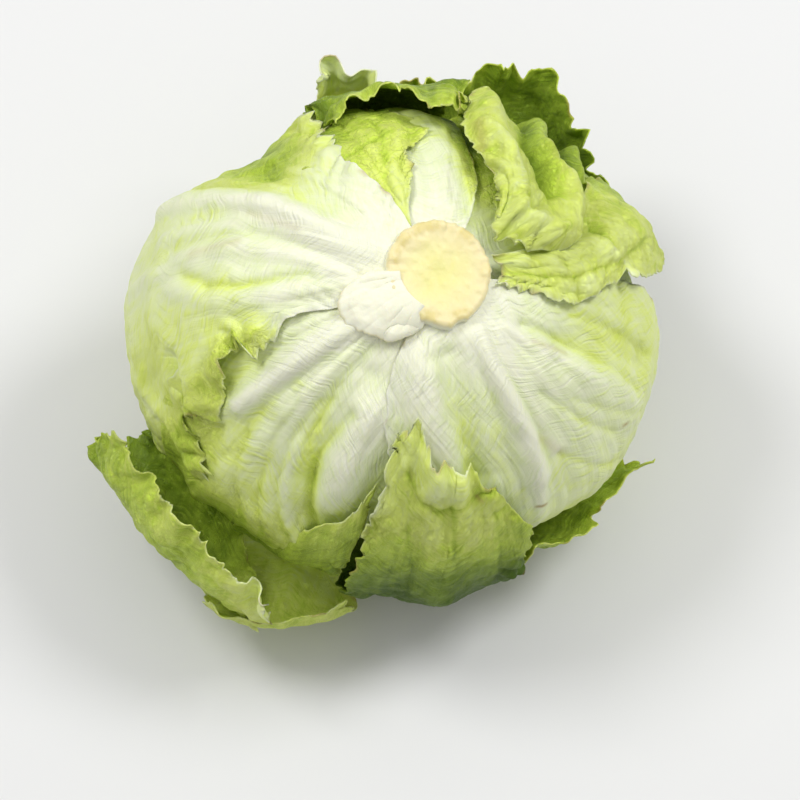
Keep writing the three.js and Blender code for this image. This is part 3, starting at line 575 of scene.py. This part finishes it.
def leaf_surface(leaf, index, u, v):
    """The middle surface of a leaf in the head's axes, its thickness, and what its material reads."""
    points, dirs, tone_and_painted_shade, wear = net_surface(leaf, index, u, v)
    along = length_along(points, 1)
    across = length_along(points, 0)
    to_tip = along[:, -1:] - along
    to_side = np.minimum(across, across[-1:] - across)
    across = across - across[len(across) // 2]
    toward_tip = unit(np.gradient(points, axis=1))
    toward_side = unit(np.gradient(points, axis=0)) * np.sign(u - 0.5)[..., None]
    normal = unit(np.cross(toward_tip, toward_side * np.sign(u - 0.5)[..., None]))
    outward = np.sum(normal * dirs, -1)

    shown = smooth((v - leaf["hidden"]) * 8)
    room = np.minimum(1, np.ptp(across, axis=0) / 30)
    tip_run = across[:, -1:] + 0 * v
    side_run = along + 40 * u
    teeth = smooth(1 - to_tip / TEETH_BAND) * saw(index * 9 + 20, tip_run)
    off_stem = smooth((v - 0.15) / 0.12)
    side_teeth = smooth(1 - to_side / TEETH_BAND) * off_stem * saw(index * 9 + 25, side_run)
    side_teeth = np.where(np.round(u) == leaf.get("plain_side", 2), 0, side_teeth)
    points = points + toward_tip * (leaf["frill"] * room * shown * teeth)[..., None]
    points = points + toward_side * (leaf["frill"] * room * shown * side_teeth)[..., None]

    x, y, z = points.transpose(2, 0, 1)
    to_margin = np.minimum(to_tip, to_side)
    green = through(leaf["green"], v) + tone_and_painted_shade
    green = green + smooth(1 - 3.2 * u) * leaf["side_green"][0] * smooth(v * 3)
    green = green + smooth(3.2 * u - 2.2) * leaf["side_green"][1] * smooth(v * 3)
    waves = noise(index + 100, x / 7, y / 7, z / 7) + 0.5 * noise(index + 120, x / 3.2, y / 3.2, z / 3.2)
    lift = leaf["curl"] * smooth(1 - to_margin / CURL_BAND) * (waves + 0.35 * outward)
    run = np.where(to_tip < to_side, tip_run, side_run)
    wave = np.sin(run * 2 * np.pi / WAVE_LENGTH + 4 * noise(index + 130, run / 11))
    wave = wave * (0.6 + noise(index + 135, run / 15))
    lift = lift + leaf.get("wave", 0) * room * smooth(1 - to_margin / WAVE_BAND) * wave
    blisters = np.abs(noise(index + 140, x / 6, y / 6, z / 6))
    blisters = blisters + 0.5 * np.abs(noise(index + 160, x / 3, y / 3, z / 3))
    lift = lift + leaf["pucker"] * smooth(green * 2.2) * (2 * blisters - 0.9) * outward
    points = points + normal * (shown * lift)[..., None]
    thickness = SHEET_AT_MARGIN + (SHEET - SHEET_AT_MARGIN) * smooth(to_margin / 6)
    vein = along - VEIN_SLANT * np.abs(across) ** 1.15
    edge_wear = smooth(noise(index + 180, x / 5, y / 5, z / 5) * 3 - 1.2) * smooth(1 - to_margin / 1.6)
    return points, thickness, [across, along, vein], [green, to_margin, wear + 0.6 * edge_wear]


def along_samples(count, hidden, start):
    """Places along the leaf, with a fifth of them over its hidden share."""
    few = max(6, int(count * 0.2)) if hidden else 0
    under = np.linspace(start, hidden, few, endpoint=False)
    return np.concatenate([under, np.linspace(hidden or start, 1, count + 1 - few)])


def sheet_mesh(name, points, thickness):
    """A closed sheet round a grid of points: vertices of the upper face, then of the lower one."""
    normal = unit(np.cross(np.gradient(points, axis=1), np.gradient(points, axis=0)))
    offset = normal * (thickness / 2)[..., None]
    upper, lower = (to_frame(p).reshape(-1, 3) for p in (points + offset, points - offset))
    across, along = points.shape[:2]
    at = np.arange(across * along).reshape(across, along)
    below = across * along
    a, b, c, d = at[:-1, :-1], at[1:, :-1], at[1:, 1:], at[:-1, 1:]
    top = np.stack([a, d, c, b], -1).reshape(-1, 4)
    under = np.stack([a, b, c, d], -1).reshape(-1, 4) + below
    rim = np.concatenate([at[:-1, 0], at[-1, :-1], at[:0:-1, -1], at[0, :0:-1]])
    after = np.roll(rim, -1)
    edge = np.stack([rim, after, after + below, rim + below], -1)
    mesh = bpy.data.meshes.new(name)
    faces = np.concatenate([top, under, edge])
    mesh.from_pydata(np.concatenate([upper, lower]).tolist(), [], faces.tolist())
    mesh.polygons.foreach_set("use_smooth", np.ones(len(mesh.polygons), bool))
    # The upper face lies in the left half of the picture plane, the lower one in the right half
    u, v = np.meshgrid(np.linspace(0.01, 0.48, across), np.linspace(0.01, 0.99, along), indexing="ij")
    place = np.stack([u.ravel(), v.ravel()], -1)
    place = np.concatenate([place, place + (0.51, 0)])
    corners = np.concatenate([top, under, np.stack([rim, after, after, rim], -1)]).ravel()
    mesh.uv_layers.new(name="OFBake").data.foreach_set("uv", place[corners].ravel())
    return mesh


def set_attribute(mesh, name, columns):
    """Three values a vertex. The lower face of a sheet takes those of the upper one."""
    values = np.stack([np.asarray(c, np.float32).ravel() for c in columns], -1)
    if len(values) < len(mesh.vertices):
        values = np.concatenate([values, values])
    mesh.attributes.new(name, "FLOAT_VECTOR", "POINT").data.foreach_set("vector", values.ravel())


def add_piece(name, mesh, material, slot, *nodes):
    piece = bpy.data.objects.new(name, mesh)
    bpy.context.scene.collection.objects.link(piece)
    mesh.materials.append(material)
    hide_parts(*nodes)
    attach(piece, "root")


def add_leaf(leaf, index, material):
    cells_across, cells_along = leaf["cells"]
    start = -0.04 if leaf["slot"] == "wrapper" else 0
    samples = along_samples(cells_along, leaf["hidden"], start)
    u, v = np.meshgrid(np.linspace(0, 1, cells_across + 1), samples, indexing="ij")
    points, thickness, place, tone = leaf_surface(leaf, index, u, v)
    mesh = sheet_mesh(leaf["name"] + "_fine", points, thickness)
    set_attribute(mesh, "leaf_place", place)
    set_attribute(mesh, "leaf_tone", tone)
    add_piece(leaf["name"] + "_fine", mesh, material, leaf["slot"], leaf["name"])


class Nodes:
    """Short names for making a material's nodes."""

    def __init__(self, name):
        self.material = bpy.data.materials.new(name)
        self.material.use_nodes = True
        self.tree = self.material.node_tree
        self.shader = self.tree.nodes["Principled BSDF"]

    def add(self, kind, inputs=(), **settings):
        node = self.tree.nodes.new("ShaderNode" + kind)
        for key, value in settings.items():
            setattr(node, key, value)
        for key, value in dict(inputs).items():
            self.set(node.inputs[key], value)
        return node

    def set(self, socket, value):
        if isinstance(value, bpy.types.NodeSocket):
            self.tree.links.new(value, socket)
        else:
            socket.default_value = value

    def attribute(self, name):
        """The three values that set_attribute gave to the mesh under this name."""
        vector = self.add("Attribute", attribute_name=name).outputs["Vector"]
        return self.add("SeparateXYZ", {0: vector}).outputs

    def math(self, operation, a, b):
        return self.add("Math", {0: a, 1: b}, operation=operation).outputs[0]

    def noise(self, vector, scale, detail):
        return self.add("TexNoise", {"Vector": vector, "Scale": scale, "Detail": detail}).outputs[0]

    def stretched(self, x, x_scale, y, y_scale):
        values = {"X": self.math("MULTIPLY", x, x_scale), "Y": self.math("MULTIPLY", y, y_scale)}
        return self.add("CombineXYZ", values).outputs[0]

    def ramp(self, factor, stops):
        node = self.add("ValToRGB", {"Fac": factor})
        elements = node.color_ramp.elements
        while len(elements) < len(stops):
            elements.new(0.5)
        for element, (place, colour) in zip(elements, stops):
            element.position = place
            element.color = (*colour, 1)
        return node.outputs["Color"]

    def grey_ramp(self, factor, *stops):
        return self.ramp(factor, [(place, (value,) * 3) for place, value in stops])

    def mix(self, factor, a, b):
        return self.add("Mix", {0: factor, 6: a, 7: b}, data_type="RGBA").outputs[2]


LEAF_COLOURS = [
    (0.00, (0.88, 0.89, 0.68)),
    (0.18, (0.78, 0.85, 0.51)),
    (0.36, (0.75, 0.86, 0.25)),
    (0.46, (0.72, 0.84, 0.16)),
    (0.56, (0.57, 0.74, 0.08)),
    (0.76, (0.25, 0.37, 0.025)),
    (1.00, (0.08, 0.15, 0.008)),
]
WORN = (0.42, 0.30, 0.10, 1)
STEM_COLOURS = [(0.1, (0.82, 0.78, 0.30)), (0.6, (0.86, 0.79, 0.38)), (0.95, (0.86, 0.76, 0.42))]


def leaf_material():
    n = Nodes("leaf")
    across, along, vein = n.attribute("leaf_place")
    green, to_margin, wear = n.attribute("leaf_tone")
    flat = n.add("CombineXYZ", {"X": across, "Y": along}).outputs[0]
    mottle = n.noise(flat, 0.1, 5)
    # Fine veins leave the middle of the leaf at a slant and wander, about one to a millimetre
    drift = n.noise(flat, 0.07, 1)
    vein_line = n.math("ADD", vein, n.math("MULTIPLY", drift, 9.0))
    vein_at = n.stretched(vein_line, 0.8, across, 0.09)
    even_veins = n.noise(vein_at, 1, 3)
    vein_depth = n.grey_ramp(mottle, (0.38, 0.3), (0.6, 1))
    veins = n.math("ADD", n.math("MULTIPLY", n.math("SUBTRACT", even_veins, 0.5), vein_depth), 0.5)
    ribs = n.noise(n.stretched(across, 0.5, along, 0.03), 1, 3)
    bent = n.add("TexNoise", {"Vector": flat, "Scale": 0.25, "Detail": 1.0}).outputs[1]
    net_at = n.add("VectorMath", {0: flat, 1: bent}, operation="MULTIPLY_ADD")
    n.set(net_at.inputs[1], (1, 1, 1))
    n.set(net_at.inputs[2], bent)
    cells = {"Vector": net_at.outputs[0], "Scale": 0.28, "Randomness": 1.0}
    net = n.add("TexVoronoi", cells, feature="DISTANCE_TO_EDGE").outputs["Distance"]
    net_lines = n.grey_ramp(net, (0.0, 1), (0.1, 0))
    netted = n.math("MULTIPLY", net_lines, n.grey_ramp(green, (0.34, 0), (0.6, 1)))
    shade = green
    for pattern, amount in ((mottle, 0.3), (ribs, 0.2), (veins, 0.42)):
        shade = n.math("ADD", shade, n.math("MULTIPLY", n.math("SUBTRACT", pattern, 0.5), amount))
    shade = n.math("SUBTRACT", shade, n.math("MULTIPLY", netted, 0.1))
    shade = n.math("SUBTRACT", shade, n.grey_ramp(to_margin, (0.0, 0.14), (1, 0)))
    colour = n.mix(wear, n.ramp(shade, LEAF_COLOURS), WORN)
    n.set(n.shader.inputs["Base Color"], colour)
    height = n.math("ADD", n.math("MULTIPLY", veins, 1.1), n.math("MULTIPLY", ribs, 0.7))
    height = n.math("SUBTRACT", height, n.math("MULTIPLY", netted, 0.7))
    bump = n.add("Bump", {"Height": height, "Strength": 0.7, "Distance": 0.001})
    n.set(n.shader.inputs["Normal"], bump.outputs[0])
    n.set(n.shader.inputs["Roughness"], n.math("ADD", n.math("MULTIPLY", mottle, 0.2), 0.36))
    n.shader.inputs["Subsurface Weight"].default_value = 0.25
    n.shader.inputs["Subsurface Radius"].default_value = (1.0, 1.0, 0.4)
    n.shader.inputs["Subsurface Scale"].default_value = 0.002
    n.shader.inputs["Specular IOR Level"].default_value = 0.25
    return n.material


def stem_material():
    """The cut face of the stem, yellow in the middle, browned at its rim and white at its sides."""
    n = Nodes("stem")
    from_middle, rim, white = n.attribute("stem_tone")
    place = n.add("TexCoord").outputs["Object"]
    cloud = n.noise(place, 160, 6)
    grain = n.noise(place, 900, 3)
    across = n.math("ADD", from_middle, n.math("MULTIPLY", n.math("SUBTRACT", cloud, 0.5), 0.5))
    flesh = n.ramp(across, STEM_COLOURS)
    spots = n.math("MULTIPLY", rim, n.grey_ramp(cloud, (0.5, 0), (0.62, 1)))
    flesh = n.mix(n.math("MULTIPLY", spots, 0.75), flesh, (0.68, 0.56, 0.14, 1))
    pale = n.mix(cloud, (0.93, 0.91, 0.74, 1), (0.88, 0.88, 0.66, 1))
    n.set(n.shader.inputs["Base Color"], n.mix(white, flesh, pale))
    height = n.math("ADD", cloud, n.math("MULTIPLY", grain, 0.4))
    bump = n.add("Bump", {"Height": height, "Strength": 0.45, "Distance": 0.0006})
    n.set(n.shader.inputs["Normal"], bump.outputs[0])
    n.set(n.shader.inputs["Roughness"], n.math("ADD", n.math("MULTIPLY", grain, 0.2), 0.38))
    n.shader.inputs["Subsurface Weight"].default_value = 0.2
    n.shader.inputs["Subsurface Radius"].default_value = (1.0, 0.8, 0.4)
    n.shader.inputs["Subsurface Scale"].default_value = 0.003
    return n.material


def closed_surface(name, points):
    """A closed mesh of rings round an axis: rings run from the first pole to the last one."""
    rings, around = points.shape[:2]
    at = np.arange(rings * around).reshape(rings, around)
    a, b = at[:-1], at[1:]
    c, d = np.roll(b, -1, 1), np.roll(a, -1, 1)
    sides = np.stack([a, b, c, d], -1).reshape(-1, 4)
    mesh = bpy.data.meshes.new(name)
    faces = sides.tolist() + [at[0].tolist(), at[-1, ::-1].tolist()]
    mesh.from_pydata(to_frame(points).reshape(-1, 3).tolist(), [], faces)
    mesh.polygons.foreach_set("use_smooth", np.ones(len(mesh.polygons), bool))
    return mesh


def add_stem(material):
    """The cut stem: a slightly sunken face, a worn uneven rim and a side that sinks among the leaves."""
    around, rings = 200, 75
    share, phi = np.meshgrid(np.linspace(0.004, 1, rings), np.arange(around) * 360 / around, indexing="ij")
    turn = np.cos(np.radians(phi)) * 5, np.sin(np.radians(phi)) * 5
    edge = STEM_RADIUS * (1 + 0.012 * noise(201, *turn)) + 0.35 * noise(202, turn[0] * 2.6, turn[1] * 2.6)
    edge = edge + 1.3 * np.exp(-(((phi - 281) / 9) ** 2)) + 0.5 * np.exp(-(((phi - 300) / 7) ** 2))
    # The first seven tenths of the rings cross the face, and the rest go round the rim and down the side
    face = np.minimum(share / 0.7, 1)
    side = np.clip((share - 0.7) / 0.3, 0, 1)
    bevel = 1.6
    bend = np.minimum(side / 0.4, 1) * math.pi / 2
    radius = (edge - bevel) * face + bevel * np.sin(bend) + 0.8 * np.maximum(side - 0.4, 0)
    x, y = radius * np.cos(np.radians(phi)), radius * np.sin(np.radians(phi))
    face_height = 0.35 * noise(203, x / 5, y / 5) + 0.14 * noise(204, x / 1.7, y / 1.7)
    face_height = face_height - 0.9 * (1 - face ** 2)
    rim = smooth((face - 0.8) / 0.15)
    face_height = face_height + 0.3 * rim * noise(205, turn[0] * 2, turn[1] * 2)
    height = STEM_TOP + 0.5 + face_height - bevel * (1 - np.cos(bend)) - 9 * np.maximum(side - 0.4, 0) / 0.6
    mesh = closed_surface("stem_cut", np.stack([x, y, height], -1))
    white = smooth((side - 0.15) / 0.3)
    set_attribute(mesh, "stem_tone", [face, rim * (1 - side) * 0.7, white])
    add_piece("stem_cut", mesh, material, "stem", "stem")


def add_stub(material):
    """What is left of a leaf broken off the stem: a thick white flange with a torn edge."""
    reach = [4, 11, 12.5, 10, 7, 5, 1]
    first, last, inside, foot = 182, 256, 9, 13
    s, t = np.meshgrid(np.linspace(0, 1, 100), np.linspace(0, 1, 50), indexing="ij")
    torn = through(reach, s) + 0.5 * saw(211, s * 48) + 0.9 * noise(212, s * 7)
    theta = inside + (foot - inside + torn) * t
    phi = first + (last - first) * s
    dirs = direction(theta, phi)
    x, y, _ = (dirs * NOISE_RADIUS).transpose(2, 0, 1)
    sag = 1.6 * t ** 2 + 1.5 * smooth((s - 0.8) / 0.2)
    facets = np.abs(noise(213, x / 10, y / 10)) - 0.3 * np.abs(noise(214, x / 4, y / 4))
    fibres = 0.14 * noise(215, s * 26, t * 2.5) + 0.3 * noise(216, s * 7, t * 1.5)
    height = 4.2 - sag + 0.9 * facets + fibres * smooth(t * 3)
    points = dirs * (ellipsoid_at(dirs) + height)[..., None]
    to_edge = np.minimum(1 - t, np.minimum(s, 1 - s) * 4)
    mesh = sheet_mesh("stem_stub", points, 0.7 + 2.2 * np.sqrt(np.clip(to_edge / 0.2, 0, 1)))
    browned = 0.7 * smooth((t - 0.93) / 0.05)
    white = 1 - 0.5 * smooth((t - 0.94) / 0.05)
    set_attribute(mesh, "stem_tone", [0.9 + 0 * t, browned, white])
    add_piece("stem_stub", mesh, material, "stem", "stem")


def add_heart(material):
    """The tight ball of inner leaves, seen between the others and from below, with its flat spot."""
    around, rings = 240, 120
    theta, phi = np.meshgrid(np.linspace(1, 179, rings), np.arange(around) * 360 / around, indexing="ij")
    dirs = direction(theta, phi)
    crown = CROWN_FILL * smooth((theta - 138) / 34)
    turns = (phi + 2.2 * theta) * 3
    wrap = WRAP_STEP * smooth(np.sin(np.radians(turns)) * 2.5) * smooth((theta - 90) / 30)
    x, y, z = (dirs * NOISE_RADIUS).transpose(2, 0, 1)
    blisters = 0.5 * np.abs(noise(221, x / 7, y / 7, z / 7))
    blisters = blisters + 0.25 * np.abs(noise(222, x / 3, y / 3, z / 3))
    height = HEART_HEIGHT + crown + wrap + blisters
    points = dirs * (ellipsoid_at(dirs) + relief_at(dirs) + height)[..., None]
    # Flat where it stands: nothing of it goes under the floor
    in_frame = points @ LEAN.T + HEAD_AT
    in_frame[..., 2] = np.maximum(in_frame[..., 2], 0)
    points = (in_frame - HEAD_AT) @ LEAN
    mesh = closed_surface("heart_fine", points)
    along = np.radians(theta) * 65
    across = (turns % 360 / 360 - 0.5) * 60
    green = 0.3 - 0.12 * smooth((theta - 140) / 30) + 0.1 * np.cos(np.radians(turns))
    set_attribute(mesh, "leaf_place", [across, along, along - VEIN_SLANT * np.abs(across)])
    set_attribute(mesh, "leaf_tone", [green, FAR_FROM_MARGIN + 0 * theta, 0 * theta])
    add_piece("heart_fine", mesh, material, "heart", "heart")


# The camera and the studio, in metres unless the name says otherwise
CAMERA_ELEVATION = 65
CAMERA_DISTANCE = 1.1
SENSOR_WIDTH_MM = 36
PICTURE_PIXELS = 800
MM_PER_PIXEL = 0.307
RIGHT_OF_HEAD, BELOW_HEAD = 7, 65  # pixels from the head's centre to the picture's
LIGHT_SIZE = 0.5
FLOOR_REACH = 4


def add_camera():
    elevation = math.radians(CAMERA_ELEVATION)
    up = Vector((0, math.sin(elevation), math.cos(elevation)))
    back = Vector((0, -math.cos(elevation), math.sin(elevation)))
    target = Vector(HEAD_AT) * MM
    target += (Vector((1, 0, 0)) * RIGHT_OF_HEAD - up * BELOW_HEAD) * MM_PER_PIXEL * MM
    data = bpy.data.cameras.new("camera")
    data.sensor_width = SENSOR_WIDTH_MM
    data.lens = data.sensor_width * CAMERA_DISTANCE / MM / MM_PER_PIXEL / PICTURE_PIXELS
    camera = bpy.data.objects.new("camera", data)
    camera.location = target + back * CAMERA_DISTANCE
    camera.rotation_mode = "QUATERNION"
    camera.rotation_quaternion = (-back).to_track_quat("-Z", "Y")
    bpy.context.scene.collection.objects.link(camera)
    bpy.context.scene.camera = camera


def add_light(name, location, power):
    data = bpy.data.lights.new(name, "AREA")
    data.shape = "DISK"
    data.size = LIGHT_SIZE
    data.energy = power
    light = bpy.data.objects.new(name, data)
    light.location = location
    light.rotation_mode = "QUATERNION"
    light.rotation_quaternion = Vector(location).to_track_quat("Z", "Y")
    bpy.context.scene.collection.objects.link(light)


def soft_world():
    """White light all round, stronger from above than from the horizon."""
    world = bpy.data.worlds.new("studio")
    world.use_nodes = True
    nodes, links = world.node_tree.nodes, world.node_tree.links
    height = nodes.new("ShaderNodeSeparateXYZ")
    links.new(nodes.new("ShaderNodeTexCoord").outputs["Generated"], height.inputs[0])
    strength = nodes.new("ShaderNodeMapRange")
    strength.inputs["From Min"].default_value = 0
    strength.inputs["From Max"].default_value = 0.9
    strength.inputs["To Min"].default_value = 0.08
    strength.inputs["To Max"].default_value = 0.7
    links.new(height.outputs["Z"], strength.inputs["Value"])
    links.new(strength.outputs[0], nodes["Background"].inputs["Strength"])
    nodes["Background"].inputs["Color"].default_value = (1, 1, 1, 1)
    return world


def add_studio():
    mesh = bpy.data.meshes.new("floor")
    corners = [(x * FLOOR_REACH, y * FLOOR_REACH, 0) for x, y in ((-1, -1), (1, -1), (1, 1), (-1, 1))]
    mesh.from_pydata(corners, [], [(0, 1, 2, 3)])
    floor = bpy.data.objects.new("floor", mesh)
    bpy.context.scene.collection.objects.link(floor)
    n = Nodes("floor")
    n.shader.inputs["Base Color"].default_value = (0.78, 0.78, 0.78, 1)
    n.shader.inputs["Roughness"].default_value = 0.9
    mesh.materials.append(n.material)
    bpy.context.scene.world = soft_world()
    add_light("left", (-0.65, 0.25, 1.2), 6.9)
    add_light("right", (0.75, 0.25, 1.15), 7.5)
    bpy.context.scene.view_settings.view_transform = "Standard"


add_camera()
add_studio()
leaf_look = leaf_material()
stem_look = stem_material()
for number, one in enumerate(LEAVES):
    add_leaf(one, number, leaf_look)
add_stem(stem_look)
add_stub(stem_look)
add_heart(leaf_look)
